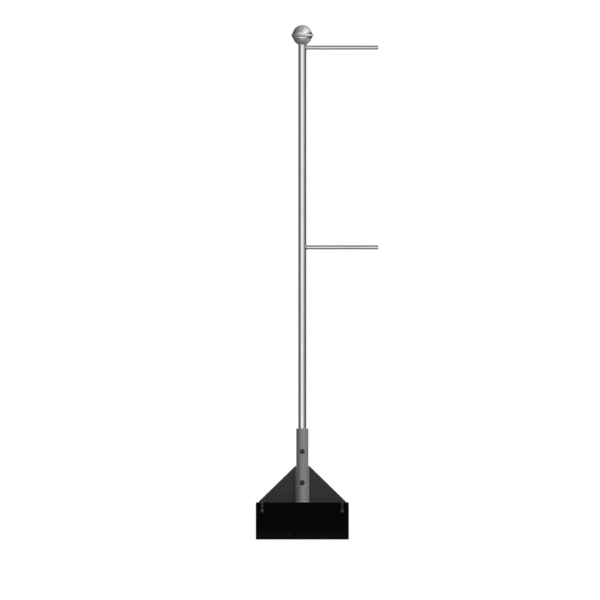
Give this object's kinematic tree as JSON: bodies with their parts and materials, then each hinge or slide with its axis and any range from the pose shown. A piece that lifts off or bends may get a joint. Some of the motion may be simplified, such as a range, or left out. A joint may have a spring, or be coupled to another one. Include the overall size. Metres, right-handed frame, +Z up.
{
  "type": "flagpole",
  "caption": "Flagpole on a block base: round tube bolted into a welded sleeve with gussets, banner arms on one side, and a banded ball on top.",
  "frame": {"origin": "centre of the block's underside, on the pole's axis", "axes": "+Z up the pole, +X along the banner arms, -Y to the front, where the heads of the fixing bolts are"},
  "size_m": [0.7705, 0.585, 3.235],
  "materials": {
    "block_concrete": "black painted cast concrete",
    "base_steel": "charcoal satin paint",
    "sleeve_steel": "dull grey galvanised steel",
    "hold_down_steel": "dark zinc",
    "fixing_steel": "black oxide",
    "pole_tube_metal": "satin polished",
    "arm_metal": "satin polished",
    "ball_metal": "spun and satin polished"
  },
  "bodies": {
    "root": {"barrel_nut_back_left": "hold_down_steel", "barrel_nut_back_right": "hold_down_steel", "barrel_nut_front_left": "hold_down_steel", "barrel_nut_front_right": "hold_down_steel", "base_block": "block_concrete", "base_plate": "base_steel", "base_weld": "base_steel", "finial_band": "ball_metal", "finial_lower_shell": "ball_metal", "finial_plug": "pole_tube_metal", "finial_upper_shell": "ball_metal", "hold_down_bolt_back_left": "hold_down_steel", "hold_down_bolt_back_right": "hold_down_steel", "hold_down_bolt_front_left": "hold_down_steel", "hold_down_bolt_front_right": "hold_down_steel", "hold_down_washer_back_left": "hold_down_steel", "hold_down_washer_back_right": "hold_down_steel", "hold_down_washer_front_left": "hold_down_steel", "hold_down_washer_front_right": "hold_down_steel", "left_gusset": "base_steel", "lower_arm": "arm_metal", "lower_arm_cap": "arm_metal", "lower_arm_weld": "arm_metal", "lower_fixing_bolt": "fixing_steel", "lower_fixing_nut": "fixing_steel", "lower_fixing_washer": "fixing_steel", "pole_sleeve": "sleeve_steel", "pole_tube": "pole_tube_metal", "right_gusset": "base_steel", "upper_arm": "arm_metal", "upper_arm_cap": "arm_metal", "upper_arm_weld": "arm_metal", "upper_fixing_bolt": "fixing_steel", "upper_fixing_nut": "fixing_steel", "upper_fixing_washer": "fixing_steel"}
  },
  "joints": []
}
